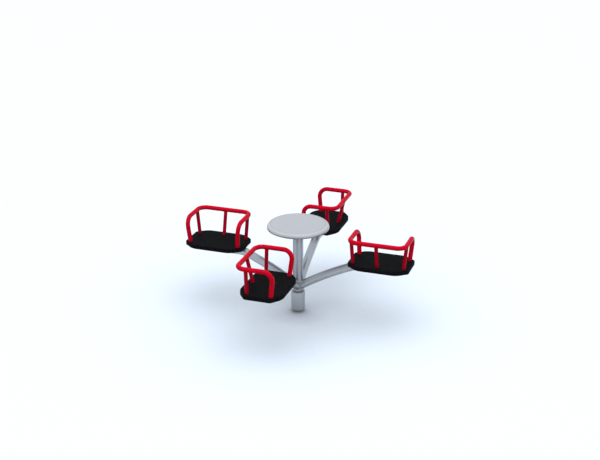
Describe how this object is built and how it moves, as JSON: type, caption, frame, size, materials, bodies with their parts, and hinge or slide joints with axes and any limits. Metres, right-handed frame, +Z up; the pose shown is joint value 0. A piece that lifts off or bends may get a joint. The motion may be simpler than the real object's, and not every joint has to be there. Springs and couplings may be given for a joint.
{
  "type": "playground roundabout",
  "caption": "Low playground roundabout: tube-railed bucket seats on curved steel arms turn about a ground post under a fixed round centre table.",
  "frame": {"origin": "centre of the ground post's flat foot, at ground level", "axes": "+Z up along the spindle; seats stand on +X, +Y, -X and -Y at rest and face counter-clockwise"},
  "size_m": [1.9, 1.9, 0.7766],
  "materials": {
    "galvanised_steel": "hot-dip galvanised, satin",
    "bearing_steel": "machined",
    "table_grey": "pale grey satin coat",
    "red_gloss_paint": "glossy powder coat",
    "black_rubber": "matt, fine non-slip pattern"
  },
  "bodies": {
    "base": {"ground_post": "galvanised_steel", "spindle": "bearing_steel", "lower_bearing": "bearing_steel", "upper_bearing": "bearing_steel", "top_bearing": "bearing_steel", "table_flange": "galvanised_steel", "table_top": "table_grey"},
    "rotor": {"bearing_housing": "galvanised_steel", "column": "galvanised_steel", "arm_1": "galvanised_steel", "arm_2": "galvanised_steel", "arm_3": "galvanised_steel", "arm_4": "galvanised_steel", "seat_1_plate": "galvanised_steel", "seat_2_plate": "galvanised_steel", "seat_3_plate": "galvanised_steel", "seat_4_plate": "galvanised_steel", "seat_1_board": "black_rubber", "seat_2_board": "black_rubber", "seat_3_board": "black_rubber", "seat_4_board": "black_rubber", "seat_1_rail": "red_gloss_paint", "seat_2_rail": "red_gloss_paint", "seat_3_rail": "red_gloss_paint", "seat_4_rail": "red_gloss_paint", "seat_1_stay_outer": "red_gloss_paint", "seat_1_stay_inner": "red_gloss_paint", "seat_1_stay_back": "red_gloss_paint", "seat_2_stay_outer": "red_gloss_paint", "seat_2_stay_inner": "red_gloss_paint", "seat_2_stay_back": "red_gloss_paint", "seat_3_stay_outer": "red_gloss_paint", "seat_3_stay_inner": "red_gloss_paint", "seat_3_stay_back": "red_gloss_paint", "seat_4_stay_outer": "red_gloss_paint", "seat_4_stay_inner": "red_gloss_paint", "seat_4_stay_back": "red_gloss_paint"}
  },
  "joints": [
    {"name": "rotor_spin", "type": "hinge", "parent": "base", "child": "rotor", "pos_m": [0, 0, 0.1], "axis": [0, 0, 1], "continuous": true}
  ]
}
